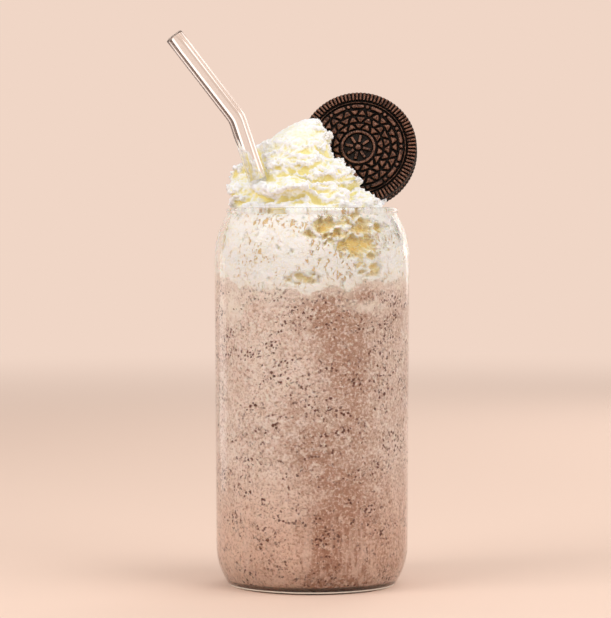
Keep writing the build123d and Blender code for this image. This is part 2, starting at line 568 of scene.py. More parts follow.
@dataclass(frozen=True)
class FloorFinish:
    """Plain pale floor that fades into the backdrop's colour far from the drink. Metres."""

    colour: Colour
    backdrop: Colour
    near: float = 0.5
    far: float = 1.6

    def make(self) -> Material:
        """Make the finish.

        Returns:
            Its material.
        """
        shader = Shader(bpy.data.materials.new("floor"))
        reach = shader.node(
            "ShaderNodeVectorMath", {"operation": "LENGTH"}, {0: shader.place}, out="Value"
        )
        grain = shader.cloud(0.0012, 2.0)
        colour = shader.blend(grain.rise(0.3, 0.7) * 0.06, self.colour, self.backdrop)
        plain = shader.principled({"Base Color": colour, "Roughness": 0.75})
        glow = shader.node("ShaderNodeEmission", {}, {"Color": self.backdrop})
        share = reach.rise(self.near, self.far) * shader.looked_at()
        return shader.finish(shader.either(share, plain, glow))


@dataclass(frozen=True)
class CardFinish:
    """The dark card that stands out of view."""

    colour: Colour = srgb(72, 44, 34)
    shade: Colour = srgb(60, 36, 28)

    def make(self) -> Material:
        """Make the finish.

        Returns:
            Its material.
        """
        shader = Shader(bpy.data.materials.new("dark_card"))
        weave = shader.cloud(0.01, 2.0)
        colour = shader.blend(weave * 0.2, self.colour, self.shade)
        return shader.coat({"Base Color": colour, "Roughness": 0.9})


# ---------------------------------------------------------------- mesh work


def arc_to(start: Point, heading: Point, end: Point, count: int) -> Outline:
    """Draw the circle arc that leaves start along heading and ends at end.

    Args:
        start: radius and height of the first point.
        heading: direction at the first point.
        end: radius and height of the last point.
        count: how many points after the start.

    Returns:
        The points after the start, the end among them.
    """
    first, last = Vector(start), Vector(end)
    along = Vector(heading).normalized()
    side = Vector((-along.y, along.x))
    chord = last - first
    centre = first + side * chord.length_squared / (2 * chord.dot(side))
    sweep = 2 * math.atan2(chord.dot(side), chord.dot(along))
    turns = [Matrix.Rotation(sweep * step / count, 2) for step in range(1, count + 1)]
    return [tuple(centre + turn @ (first - centre)) for turn in turns]


def finer(outline: Outline, longest: float) -> Outline:
    """Divide an outline's long runs.

    Args:
        outline: radii and heights in millimetres.
        longest: no run of the result is longer than this.

    Returns:
        The outline with the added points.
    """
    points = [outline[0]]
    for first, second in zip(outline, outline[1:]):
        pieces = 1 + int(math.dist(first, second) / longest)
        for step in range(1, pieces + 1):
            points.append(tuple(Vector(first).lerp(Vector(second), step / pieces)))
    return points


def spun(outline: Outline, steps: int, cuts: int = 0) -> BMesh:
    """Turn an outline of radii and heights in millimetres about the upright axis.

    Args:
        outline: the points, from one end to the other.
        steps: how many steps round.
        cuts: how often each step is divided afterwards.

    Returns:
        The closed shell, with its faces outwards.
    """
    shell = bmesh.new()
    corners = [shell.verts.new((radius * MM, 0, height * MM)) for radius, height in outline]
    for pair in zip(corners, corners[1:]):
        shell.edges.new(pair)
    bmesh.ops.spin(
        shell, geom=shell.verts[:] + shell.edges[:], cent=(0, 0, 0), axis=(0, 0, 1),
        angle=math.tau, steps=steps, use_merge=True,
    )
    bmesh.ops.remove_doubles(shell, verts=shell.verts, dist=SAME * 10)
    if cuts:
        rings = [
            edge for edge in shell.edges
            if abs(edge.verts[0].co.z - edge.verts[1].co.z) < SAME / 10
            and abs(edge.verts[0].co.xy.length - edge.verts[1].co.xy.length) < SAME
        ]
        bmesh.ops.subdivide_edges(shell, edges=rings, cuts=cuts, use_grid_fill=True)
    bmesh.ops.recalc_face_normals(shell, faces=shell.faces)
    return shell


def extruded(shell: BMesh, rim: Sequence[BMEdge]) -> tuple[list[BMVert], list[BMEdge]]:
    """Extrude open edges where they are.

    Args:
        shell: the mesh.
        rim: its open edges.

    Returns:
        The fresh rim's vertices and its edges.
    """
    made = bmesh.ops.extrude_edge_only(shell, edges=rim)["geom"]
    verts = [part for part in made if isinstance(part, BMVert)]
    fresh = set(verts)
    edges = [part for part in made if isinstance(part, BMEdge)]
    return verts, [edge for edge in edges if fresh.issuperset(edge.verts)]


def crease(shell: BMesh, degrees: float) -> None:
    """Keep edges sharp where the faces turn by more than this many degrees."""
    for edge in bent_edges(shell, degrees):
        edge.smooth = False


def bent_edges(shell: BMesh, degrees: float) -> list[BMEdge]:
    """Return the edges where the faces turn by more than this many degrees."""
    least = math.radians(degrees)
    return [e for e in shell.edges if e.is_manifold and e.calc_face_angle() > least]


def places(shell: BMesh) -> np.ndarray:
    """Return the vertices' places, in millimetres, one row each."""
    return np.array([vert.co[:] for vert in shell.verts]) / MM


def facings(shell: BMesh) -> np.ndarray:
    """Return the vertices' outward directions, one row each."""
    shell.normal_update()
    return np.array([vert.normal[:] for vert in shell.verts])


def put(shell: BMesh, points: np.ndarray) -> None:
    """Move the vertices to these places, in millimetres."""
    for vert, point in zip(shell.verts, points * MM):
        vert.co = point


def mark(shell: BMesh, **marks: np.ndarray | float) -> None:
    """Store numbers on the vertices.

    Args:
        shell: the mesh.
        marks: one number for each vertex or for all, under the name that a finish reads.
    """
    for name, values in marks.items():
        layer = shell.verts.layers.float.new(name)
        for vert, value in zip(shell.verts, np.broadcast_to(values, len(shell.verts))):
            vert[layer] = float(value)


def ridges(points: np.ndarray, size: Sequence[float], shift: float, octaves: int) -> np.ndarray:
    """Make sharp-crested noise.

    Args:
        points: places in millimetres.
        size: the ridges' spacing along each axis, in millimetres.
        shift: moves the pattern, to choose another part of it.
        octaves: how many finer copies are added.

    Returns:
        One number a point, from 0 in the valleys to 1 on the crests.
    """
    scaled = points / np.array(size) + shift
    shape = (0.9, 2.1, octaves, 1.0, 2.0)
    raw = np.array([noise.ridged_multi_fractal(Vector(p), *shape) for p in scaled])
    low, high = np.percentile(raw, (2, 98))
    return np.clip((raw - low) / (high - low), 0, 1.15)


def rough(points: np.ndarray, size: float, shift: float, octaves: int = 2) -> np.ndarray:
    """Return soft noise, about -1 to 1, with blotches of size millimetres."""
    return np.array([noise.fractal(Vector(p), 0.8, 2.0, octaves) for p in points / size + shift])


def wander(
    points: np.ndarray, sizes: Sequence[float] = (8.0, 8.0, 8.0),
    shifts: Sequence[float] = (2.9, 6.7, 9.4), far: float = 1.6,
) -> np.ndarray:
    """Return a gentle drift for each point.

    Args:
        points: places in millimetres.
        sizes: the blotches' size along each axis, in millimetres.
        shifts: moves each axis's pattern.
        far: how far the points drift, in millimetres.

    Returns:
        One row of three distances a point, in millimetres.
    """
    return np.column_stack([rough(points, *way) for way in zip(sizes, shifts)]) * far


def around(points: np.ndarray) -> tuple[np.ndarray, np.ndarray]:
    """Return each point's distance from the upright axis, and its bearing from the front in degrees."""
    reach = np.hypot(points[:, 0], points[:, 1])
    return reach, np.degrees(np.arctan2(points[:, 0], -points[:, 1]))


def nearest(turn: np.ndarray, step: float) -> np.ndarray:
    """Return each angle's signed distance from the nearest whole number of steps."""
    return (turn + step / 2) % step - step / 2


def hollowness(shell: BMesh, rounds: int) -> np.ndarray:
    """Measure how far each vertex lies under its smoothed surroundings.

    Args:
        shell: the mesh.
        rounds: how often the surroundings are averaged; more looks wider.

    Returns:
        Millimetres, above 0 in folds and below 0 on crests.
    """
    shell.verts.index_update()
    ends = np.array([(edge.verts[0].index, edge.verts[1].index) for edge in shell.edges])
    points, outward = places(shell), facings(shell)
    mean = points.copy()
    share = np.bincount(ends.ravel(), minlength=len(points))[:, None]
    for _ in range(rounds):
        total = np.zeros_like(mean)
        for axis in range(3):
            for here, there in ((0, 1), (1, 0)):
                near = mean[ends[:, there], axis]
                total[:, axis] += np.bincount(ends[:, here], near, len(points))
        mean = total / share
    return ((mean - points) * outward).sum(axis=1)


def keep_whole(shell: BMesh) -> None:
    """Delete the loose grains that lie apart from the shell's largest part.

    Args:
        shell: the mesh.
    """
    waiting = set(shell.verts)
    parts = []
    while waiting:
        front = [waiting.pop()]
        part = list(front)
        while front:
            vert = front.pop()
            near = waiting.intersection(edge.other_vert(vert) for edge in vert.link_edges)
            waiting -= near
            part += near
            front += near
        parts.append(part)
    parts.sort(key=len)
    loose = [vert for part in parts[:-1] for vert in part]
    bmesh.ops.delete(shell, geom=loose, context="VERTS")


def hung(name: str, data: ID) -> Object:
    """Put a new object in the scene.

    Args:
        name: its name.
        data: its mesh, lamp or camera.

    Returns:
        The object.
    """
    made = bpy.data.objects.new(name, data)
    bpy.context.scene.collection.objects.link(made)
    return made


def solid(shell: BMesh, name: str, finish: Material | None = None) -> Object:
    """Make an object of a shell.

    Args:
        shell: the mesh, in place, which is freed.
        name: the object's name.
        finish: its material.

    Returns:
        The object.
    """
    mesh = bpy.data.meshes.new(name)
    shell.to_mesh(mesh)
    shell.free()
    if finish:
        mesh.materials.append(finish)
    return hung(name, mesh)


def settled(shell: BMesh, voxel: float) -> BMesh:
    """Rebuild a shell as one even skin.

    Args:
        shell: closed shells, which may cross each other, and are freed.
        voxel: the skin's spacing, in millimetres.

    Returns:
        A new bmesh of the skin.
    """
    draft = solid(shell, "draft")
    skin = draft.modifiers.new("skin", "REMESH")
    skin.mode = "VOXEL"
    skin.voxel_size = voxel * MM
    ready = draft.evaluated_get(bpy.context.evaluated_depsgraph_get())
    baked = bpy.data.meshes.new_from_object(ready)
    result = bmesh.new()
    result.from_mesh(baked)
    keep_whole(result)
    mesh = draft.data
    bpy.data.objects.remove(draft)
    for passing in (mesh, baked):
        bpy.data.meshes.remove(passing)
    return result


def show(
    shell: BMesh, name: str, finish: Material, stands_for: Sequence[str] = ()
) -> None:
    """Make a finished piece of a shell, and tell the frame about it.

    Args:
        shell: the mesh, in place, which is freed.
        name: the piece's name.
        finish: its material.
        stands_for: the CAD nodes that it replaces.
    """
    piece = solid(shell, name, finish)
    faces = piece.data.polygons
    faces.foreach_set("use_smooth", [True] * len(faces))
    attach(piece, "root")
    if stands_for:
        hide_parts(*stands_for)
    LOG.info("%s: %d faces", name, len(faces))


# ---------------------------------------------------------------- the drink's parts


@dataclass
class Tumbler:
    """The can-shaped glass. Radii and heights in millimetres, heights from its foot."""

    radius: float = 37.5
    height: float = 145.0
    wall: float = 2.2
    heel_radius: float = 36.9
    heel_height: float = 15.0
    foot_radius: float = 32.3
    foot_edge: float = 0.6
    floor: float = 3.4
    neck_radius: float = 32.8
    neck_drop: float = 2.8
    shoulder_drop: float = 18.8
    lip_bulge: float = 0.3
    lip_from: float = -40.0
    lip_points: int = 15
    punt_radius: float = 28.0
    punt_top_radius: float = 19.0
    punt_depth: float = 1.0
    punt_ease: float = 0.1
    # The pale ring inside the foot is a painted highlight for the bright line at the glass's base;
    # these four fields give its height, start, inset and width.
    ground: float = 0.6
    glint_ring_from: float = 0.75
    glint_ring_inset: float = 1.5
    glint_ring_width: float = 0.3
    arcs: int = 32
    steps: int = 224
    longest: float = 6.0
    finish: ClearGlass = ClearGlass("clear_glass")

    def measure(self) -> None:
        """Take the radius and the height from the frame."""
        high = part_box("glass")[1]
        self.radius = round(high.x / MM, 1)
        self.height = round(high.z / MM, 1)

    def side(self, out: float, foot: float) -> Outline:
        """Draw one face of the wall, from the foot or the floor up to the neck.

        Args:
            out: how far outside the glass's outer face it runs.
            foot: the height of its lowest point.

        Returns:
            Radii and heights, in millimetres.
        """
        low = (self.heel_radius + out, self.heel_height)
        high = (self.radius + out, self.height - self.shoulder_drop)
        mouth = (self.neck_radius + out, self.height - self.neck_drop)
        up = (high[0] - low[0], high[1] - low[1])
        heel = arc_to(low, (-up[0], -up[1]), (self.foot_radius + out, foot), self.arcs)
        return heel[::-1] + [low, high] + arc_to(high, up, mouth, self.arcs)

    def inside(self, into_wall: float = 0.0) -> Outline:
        """Return the cavity's outline from the floor's edge up, grown by into_wall millimetres."""
        return self.side(into_wall - self.wall, self.floor - into_wall)

    def outline(self) -> Outline:
        """Draw the whole wall, from the axis below round to the axis above the floor.

        Returns:
            Radii and heights, in millimetres.
        """
        lip = (self.wall + self.lip_bulge) / 2
        middle = self.neck_radius - self.wall + lip
        turns = np.linspace(math.radians(self.lip_from), math.pi, self.lip_points)
        bead = [
            (middle + lip * math.cos(turn), self.height - lip + lip * math.sin(turn))
            for turn in turns
        ]
        hollow = [
            (0.0, self.punt_depth),
            (self.punt_top_radius - 1, self.punt_depth),
            (self.punt_top_radius + 1, self.punt_depth - self.punt_ease),
            (self.punt_radius - 1, self.punt_ease),
            (self.punt_radius, 0.0),
        ]
        stand = [
            (self.foot_radius - self.foot_edge, 0.0),
            (self.foot_radius - self.foot_edge * 0.4, self.foot_edge * 0.2),
        ]
        outer = self.side(0.0, self.foot_edge)
        return hollow + stand + outer + bead + self.inside()[::-1] + [(0.0, self.floor)]

    def build(self) -> None:
        """Spin the wall and a pale ring inside its foot that is a painted highlight, and dress them."""
        wall = spun(finer(self.outline(), self.longest), self.steps)
        show(wall, "tumbler", self.finish.make(), ["glass"])
        # Painted highlight: a pale, diffuse ring inside the glass's base stands for the bright line
        # that light makes there.
        inner = self.foot_radius - self.glint_ring_inset
        outer = inner + self.glint_ring_width
        low, high = self.glint_ring_from, self.glint_ring_from + self.ground
        ring = spun([(inner, low), (outer, low), (outer, high), (inner, high)], self.steps)
        bmesh.ops.bridge_loops(ring, edges=[edge for edge in ring.edges if edge.is_boundary])
        bmesh.ops.recalc_face_normals(ring, faces=ring.faces)
        crease(ring, 50)
        show(ring, "painted_glint_foot_ring", GlintRingFinish().make())


@dataclass
class Level:
    """The uneven line round the glass where the drink ends and the cream begins."""

    drop: float = 28.6
    waves: tuple[Triple, ...] = (
        # height in millimetres, how many go round, start in degrees
        (1.6, 3.0, 60.0), (0.9, 2.0, 0.0), (0.5, 7.0, -35.0), (0.35, 13.0, 60.0),
    )
    notches: tuple[Triple, ...] = (
        # bearing and half width in degrees, rise in millimetres
        (22.0, 5.0, -2.8), (-80.0, 8.0, 2.0),
    )

    def at(self, bearing: np.ndarray) -> np.ndarray:
        """Follow the line round the glass.

        Args:
            bearing: degrees from the front.

        Returns:
            How far below the lip the line lies at each bearing, in millimetres.
        """
        drop = np.full(bearing.shape, self.drop)
        for size, times, start in self.waves:
            drop += size * np.cos(np.radians(bearing * times + start))
        for middle, width, rise in self.notches:
            drop -= rise * np.exp(-(((bearing - middle) / width) ** 2))
        return drop


@dataclass
class Contents:
    """What fills the glass on one side of the level, and reaches just into its wall. Millimetres."""

    tumbler: Tumbler
    level: Level
    into_wall: float = 0.15
    clear: float = 0.02
    unmilked: float = -0.15

    @property
    def seam(self) -> float:
        """Return the height where the outline stops, before the level's waves."""
        return self.tumbler.height - self.level.drop

    def edge(self) -> Point:
        """Return the outline's point on the wall at the seam."""
        return self.tumbler.radius - self.tumbler.wall + self.into_wall - self.clear, self.seam

    def bend(self, points: np.ndarray, still: float) -> np.ndarray:
        """Move the seam to the level.

        Args:
            points: the vertices' places, which are changed.
            still: how far above the seam, or below it where negative, the move has died out.

        Returns:
            The level's height at each point.
        """
        line = self.tumbler.height - self.level.at(around(points)[1])
        points[:, 2] += (line - self.seam) * fade(points[:, 2], self.seam + still, self.seam)
        return line


@dataclass
class Shake(Contents):
    """The drink itself: it fills the glass up to the level."""

    steps: int = 96
    cuts: int = 3
    spacing: float = 0.8
    moved: float = 16.0
    milky: tuple[tuple[float, float, float, float], ...] = (
        # bearing, millimetres under the lip, half width in degrees, half height
        (-56.0, 38.0, 16.0, 6.0), (34.0, 37.0, 18.0, 2.6), (150.0, 36.0, 20.0, 4.0),
        (232.0, 38.0, 16.0, 5.0),
    )

    def milk(self, points: np.ndarray) -> np.ndarray:
        """Pale the drink where milk shows.

        Args:
            points: the vertices' places.

        Returns:
            How much milk shows at each point, 0 to 1.
        """
        bearing = around(points)[1]
        drop = self.tumbler.height - points[:, 2]
        share = np.zeros(len(points))
        for middle, low, width, height in self.milky:
            away = (nearest(bearing - middle, 360) / width) ** 2 + ((drop - low) / height) ** 2
            share = np.maximum(share, np.exp(-away))
        return share

    def build(self, finish: Material) -> None:
        """Spin the body, bend its top to the level, and dress it.

        Args:
            finish: the material shared with the cream above.
        """
        side = [point for point in self.tumbler.inside(self.into_wall) if point[1] < self.seam]
        outline = finer(side + [self.edge()], self.spacing)
        shell = spun([(0.0, side[0][1])] + outline + [(0.0, self.seam)], self.steps, self.cuts)
        points = places(shell)
        line = self.bend(points, -self.moved)
        put(shell, points)
        milk = self.milk(points) * 0.9 + self.unmilked
        mark(shell, above=points[:, 2] - line, fold=0.0, milk=milk)
        crease(shell, 50)
        show(shell, "milkshake_body", finish, ["milkshake"])


@dataclass
class Crumbs:
    """Bits of ground cookie that touch the glass. Millimetres."""

    tumbler: Tumbler
    level: Level
    count: int = 620
    seed: int = 7
    smallest: float = 0.22
    largest: float = 1.0
    rarity: int = 4
    flattest: float = 0.4
    chipped: float = 0.3
    sunk: float = 0.25
    clusters: int = 90
    spread: float = 2.4
    wider: float = 1.3
    lowest: float = 8.0
    under_level: float = 2.0

    def build(self, finish: Material) -> None:
        """Scatter the crumbs in loose clusters.

        Args:
            finish: the dark biscuit's material.
        """
        dice = np.random.default_rng(self.seed)
        radius = self.tumbler.radius - self.tumbler.wall
        top = self.tumbler.height - self.level.drop - self.under_level
        middles = np.column_stack((
            dice.uniform(0, math.tau * radius, self.clusters),
            dice.uniform(self.lowest + 1, top, self.clusters),
        ))
        wall = np.array(self.tumbler.inside())
        heap = bmesh.new()
        worn = heap.verts.layers.float.new("worn")
        for _ in range(self.count):
            middle = middles[dice.integers(self.clusters)]
            along, height = middle + dice.normal(0, self.spread, 2) * (self.wider, 1.0)
            height = min(max(height, self.lowest), top)
            size = self.smallest + (self.largest - self.smallest) * dice.random() ** self.rarity
            lean = Euler(dice.uniform(0, math.tau, 3)).to_matrix().to_4x4()
            flat = dice.uniform(self.flattest, 1.0, 3) * size * MM
            out = np.interp(height, wall[:, 1], wall[:, 0]) - size * self.sunk
            where = Matrix.Rotation(along / radius, 4, "Z") @ Matrix.Translation(
                (out * MM, 0, height * MM)
            )
            made = bmesh.ops.create_icosphere(
                heap, subdivisions=1, radius=1.0, matrix=where @ lean @ Matrix.Diagonal((*flat, 1.0))
            )
            # Each crumb is marked high in the relief, so it takes the wafer's lighter browns.
            for vert in made["verts"]:
                vert.co += Vector(dice.uniform(-self.chipped, self.chipped, 3) * size * MM)
                vert[worn] = 0.9
        show(heap, "cookie_crumbs", finish)


@dataclass(frozen=True)
class Torn:
    """A stretch of the cream that is torn open: bearings in degrees, the rest in millimetres."""

    bearing: float
    half_width: float
    top: float
    bottom: float
    depth: float


@dataclass
class PressedCream(Contents):
    """The cream inside the glass, from the level up to the lip."""

    steps: int = 110
    cuts: int = 4
    spacing: float = 0.42
    moved: float = 10.0
    rim_gap: float = 1.2
    rim_inset: float = 0.1
    lid_radius: float = 24.0
    whole_radius: float = 25.0
    touching: float = 1.5
    deepest: float = 2.6
    crest_size: Triple = (8.0, 8.0, 6.0)
    shred_size: Triple = (3.4, 3.4, 2.6)
    shred_depth: float = 0.7
    graze: float = 0.15
    zones: tuple[Torn, ...] = (
        Torn(24.0, 32.0, 1.5, 15.0, 2.6),
        Torn(31.0, 20.0, 7.0, 21.0, 2.4),
        Torn(36.0, 11.0, 12.0, 29.0, 2.2),
        Torn(-6.0, 12.0, 24.0, 29.0, 1.6),
        Torn(-28.0, 26.0, -2.0, 2.6, 2.0),
        Torn(-72.0, 5.0, 3.0, 26.0, 2.0),
        Torn(115.0, 22.0, -1.0, 14.0, 2.8),
        Torn(170.0, 16.0, 0.0, 18.0, 2.6),
        Torn(222.0, 24.0, -1.0, 12.0, 2.6),
        Torn(258.0, 9.0, 8.0, 22.0, 2.2),
    )
    dents: tuple[Triple, ...] = (
        # spacing, radius as a share of it, depth
        (3.6, 0.26, 1.0), (2.1, 0.27, 0.7),
    )

    def hollow(self, points: np.ndarray) -> np.ndarray:
        """Tear and dent the cream.

        Args:
            points: the vertices' places.

        Returns:
            How far each point lies in from the wall.
        """
        bearing = around(points)[1]
        drop = self.tumbler.height - points[:, 2]
        drift = wander(points)
        ragged = rough(points, 5.0, 5.3, 4) * 0.45
        crests = ridges(points + drift, self.crest_size, 3.7, 4)
        valley = fade(crests, 0.95, 0.3)
        shreds = 1 - np.clip(ridges(points, self.shred_size, 8.1, 2), 0, 1)
        depth = np.zeros(len(points))
        for zone in self.zones:
            turn = nearest(bearing - zone.bearing, 360)
            middle, half = (zone.top + zone.bottom) / 2, (zone.bottom - zone.top) / 2
            reach = np.hypot(turn / zone.half_width, (drop - middle) / half) ** 1.5
            inside = fade(1 - reach + ragged, 0.0, 0.5)
            depth = np.maximum(depth, inside * (valley * zone.depth + shreds * self.shred_depth))
        spread = fade(rough(points, 9.0, 12.7), -0.15, 0.3)
        drifted = points + drift * 0.6
        for size, radius, deep in self.dents:
            near = np.array([noise.voronoi(Vector(p / size))[0][0] for p in drifted])
            depth = np.maximum(depth, fade(near, radius, radius * 0.4) * spread * deep)
        return depth + fade(crests, 0.35, 0.0) * self.graze

    def build(self, finish: Material) -> None:
        """Spin the cream, tear and dent it, and dress it.

        Args:
            finish: the material shared with the drink below.
        """
        side = [point for point in self.tumbler.inside(self.into_wall) if point[1] > self.seam]
        top = self.tumbler.height
        mouth = (side[-1][0] - self.rim_inset, top - self.rim_gap)
        outline = finer([self.edge()] + side + [mouth, (self.lid_radius, top)], self.spacing)
        shell = spun([(0.0, self.seam)] + outline + [(0.0, top)], self.steps, self.cuts)
        points = places(shell)
        line = self.bend(points, self.moved)
        reach, _ = around(points)
        depth = self.hollow(points) * fade(points[:, 2], line, line + self.touching)
        depth[reach <= self.whole_radius] = 0.0
        points[:, :2] *= (1 - depth / np.maximum(reach, 1.0))[:, None]
        put(shell, points)
        # The fold mark carries painted shade: the deeper the cream lies in from the glass, the darker
        # and yellower it is painted.
        fold = np.clip(depth / self.deepest, 0, 1)
        mark(shell, above=points[:, 2] - line, fold=fold, milk=self.unmilked)
        crease(shell, 75)
        show(shell, "pressed_cream", finish, ["whipped_cream"])


@dataclass
class Straw:
    """A thick-walled glass tube with one bend. Places in millimetres from the glass's foot."""

    diameter: float = 7.0
    bore: float = 3.8
    length: float = 220.0
    bend: float = 13.0
    polish: float = 0.7
    corner: Triple = (-28.5, -12.5, 179.0)
    tip_run: Triple = (-23.5, -7.6, 30.5)
    lean_side: float = math.radians(18.3)
    lean_front: float = math.radians(7.0)
    segments: int = 64
    bend_steps: int = 18
    finish: ClearGlass = ClearGlass("straw_glass", srgb(252, 252, 252), 1.5)

    def axis_at(self, heights: np.ndarray) -> tuple[np.ndarray, np.ndarray]:
        """Follow the lower run.

        Args:
            heights: heights over the glass's foot.

        Returns:
            How far right and how far back the run's middle lies at each height.
        """
        right, back, top = self.corner
        under = top - heights
        return right + under * math.tan(self.lean_side), back + under * math.tan(self.lean_front)

    @staticmethod
    def drawn(tube: BMesh, rings: list[BMEdge], way: Vector, pieces: int) -> list[BMEdge]:
        """Draw rings of edges along a straight way.

        Args:
            tube: the mesh.
            rings: its open rings.
            way: how far and which way they are drawn, in millimetres.
            pieces: how many equal pieces the run has.

        Returns:
            The rings at the run's end.
        """
        for _ in range(pieces):
            verts, rings = extruded(tube, rings)
            bmesh.ops.translate(tube, verts=verts, vec=way * MM / pieces)
        return rings

    def build(self) -> None:
        """Draw the tube's ends along its two runs and round its bend, and dress it."""
        corner, tip_run = Vector(self.corner), Vector(self.tip_run)
        up = tip_run.normalized()
        down = Vector((math.tan(self.lean_side), math.tan(self.lean_front), -1)).normalized()
        turn = up.angle(-down)
        tangent = self.bend * math.tan(turn / 2)
        tube = bmesh.new()
        facing = (-up).to_track_quat("Z", "Y").to_matrix().to_4x4()
        for radius in (self.diameter / 2, self.bore / 2):
            bmesh.ops.create_circle(
                tube, cap_ends=False, segments=self.segments, radius=radius * MM,
                matrix=Matrix.Translation((corner + tip_run) * MM) @ facing,
            )
        tip = tube.edges[:]
        rings = self.drawn(tube, tip, -up * (tip_run.length - tangent), 6)
        towards = up + down
        inward = (towards - up * towards.dot(up)).normalized()
        made = bmesh.ops.spin(
            tube, geom=rings + list({v for e in rings for v in e.verts}),
            cent=(corner + up * tangent + inward * self.bend) * MM,
            axis=(-up).cross(down).normalized(), angle=turn, steps=self.bend_steps,
        )
        rings = [part for part in made["geom_last"] if isinstance(part, BMEdge)]
        rings = self.drawn(tube, rings, down * (self.length - tip_run.length - tangent), 12)
        for mouth in (tip, rings):
            bmesh.ops.bridge_loops(tube, edges=mouth)
        bmesh.ops.remove_doubles(tube, verts=tube.verts, dist=SAME)
        bmesh.ops.recalc_face_normals(tube, faces=tube.faces)
        bmesh.ops.bevel(
            tube, geom=bent_edges(tube, 60), offset=self.polish * MM, offset_type="OFFSET",
            segments=5, profile=0.5, affect="EDGES", material=-1,
        )
        show(tube, "bent_straw", self.finish.make(), ["straw"])


@dataclass
class CreamMound:
    """The whipped cream over the lip: a leaning mound of torn, draped ridges. Millimetres."""

    tumbler: Tumbler
    straw: Straw
    sections: tuple[tuple[float, float, float, float], ...] = (
        # height over the lip, centre to the right, half width, half depth
        (-4.0, 0.0, 27.0, 27.0),
        (0.4, -1.5, 28.8, 29.2),
        (5.0, -3.4, 26.4, 27.4),
        (10.5, -6.2, 22.4, 24.0),
        (15.5, -6.8, 20.2, 20.6),
        (20.0, -6.6, 17.0, 17.2),
        (25.0, -5.8, 12.8, 13.4),
        (29.0, -3.6, 8.0, 9.2),
        (33.2, -0.6, 2.8, 4.0),
    )
    segments: int = 64
    coarse: float = 1.0
    voxel: float = 0.362
    smoothings: int = 6
    folds: float = 6.6
    fold_size: Triple = (28.0, 28.0, 10.5)
    ruffles: float = 3.8
    ruffle_size: Triple = (17.0, 17.0, 7.5)
    frills: float = 1.3
    frill_size: Triple = (3.0, 3.0, 2.1)
    crumble: float = 0.45
    crumble_size: float = 0.95
    overhang: float = 0.55
    swirl: float = 3.4
    twist: float = 0.012
    scoop_depth: float = 4.4
    scoop_side: float = 3.6
    scoop_rise: Point = (7.5, 11.5)

    def blank(self) -> BMesh:
        """Shape the mound before its ridges.

        Returns:
            The smooth shell.
        """
        mound = bmesh.new()
        low, centre, width, depth = self.sections[0]
        place = Matrix.Translation((centre * MM, 0, (self.tumbler.height + low) * MM))
        bmesh.ops.create_circle(
            mound, cap_ends=False, segments=self.segments, radius=1.0,
            matrix=place @ Matrix.Diagonal((width * MM, depth * MM, 1, 1)),
        )
        rim = mound.edges[:]
        bmesh.ops.contextual_create(mound, geom=rim)
        for before, after in zip(self.sections, self.sections[1:]):
            verts, rim = extruded(mound, rim)
            old, new = (
                Vector((part[1], 0, self.tumbler.height + part[0])) * MM for part in (before, after)
            )
            change = Matrix.Diagonal((after[2] / before[2], after[3] / before[3], 1, 1))
            bmesh.ops.transform(
                mound, verts=verts, matrix=Matrix.Translation(new) @ change @ Matrix.Translation(-old)
            )
        bmesh.ops.contextual_create(mound, geom=rim)
        bmesh.ops.recalc_face_normals(mound, faces=mound.faces)
        return mound

    def opened(self, points: np.ndarray) -> np.ndarray:
        """Scoop the cream away in front of the straw.

        Args:
            points: the vertices' places, which are changed.

        Returns:
            The places.
        """
        right, back = self.straw.axis_at(points[:, 2])
        rise = points[:, 2] - self.tumbler.height
        beside = points[:, 0] - right
        behind = back + self.scoop_depth + np.maximum(rise - 11.0, 0) * 0.7
        behind -= np.minimum(beside, 0) * 0.5
        beside = np.maximum(beside - self.scoop_side, 0)
        ahead = np.maximum(behind - beside * 1.1 - points[:, 1], 0)
        share = fade(rise, *self.scoop_rise) * (0.94 - 0.54 * fade(beside, 0.0, 4.0))
        points[:, 1] += ahead * share
        return points

    def ruffled(self, skin: BMesh) -> None:
        """Raise the large, overhanging ridges.

        Args:
            skin: the mound, which is changed.
        """
        points, outward = places(skin), facings(skin)
        rise = points[:, 2] - self.tumbler.height
        drift = wander(points, (16.0, 16.0, 14.0), (1.7, 4.1, 8.9), 1.0)
        swirl = points + drift * self.swirl
        swirl[:, 2] -= np.degrees(np.arctan2(points[:, 1], points[:, 0] + 4)) * self.twist
        big = ridges(swirl, self.fold_size, 2.3, 2) ** 1.5
        mid = ridges(swirl + drift, self.ruffle_size, 6.1, 2) ** 1.5
        free = fade(rise, -1.5, 3.0)
        calm = 1 - fade(rise, 20.0, 26.0) * (0.4 + 0.35 * fade(points[:, 0], 3.0, -3.0))
        push = ((big - 0.5) * self.folds + (mid - 0.45) * self.ruffles) * free * calm
        points += outward * push[:, None]
        points[:, 2] -= np.maximum(push, 0) * self.overhang * free
        put(skin, self.opened(points))

    def frilled(self, skin: BMesh) -> None:
        """Tear the crests into small frills, and mark the folds for their painted shade.

        Args:
            skin: the mound, which is changed.
        """
        points, outward = places(skin), facings(skin)
        rise = points[:, 2] - self.tumbler.height
        wide = hollowness(skin, 60)
        fine = ridges(points + wander(points), self.frill_size, 11.3, 3)
        torn = rough(points, self.crumble_size, 3.3, 3)
        edge = fade(-wide, -0.5, 0.7)
        calm = 1 - 0.6 * fade(rise, 21.0, 27.0) * fade(points[:, 0], 3.0, -3.0)
        push = (fine - 0.5) * self.frills * (0.3 + edge) + torn * self.crumble * (0.15 + edge)
        points += outward * (push * fade(rise, -1.5, 2.0) * calm)[:, None]
        put(skin, points)
        # Painted shade: hollows, measured at two widths, are marked for darker, yellower colour; crests
        # stay white.
        mark(skin, fold=np.clip(0.3 + wide * 0.36 + hollowness(skin, 12) * 0.8, 0, 1.3))

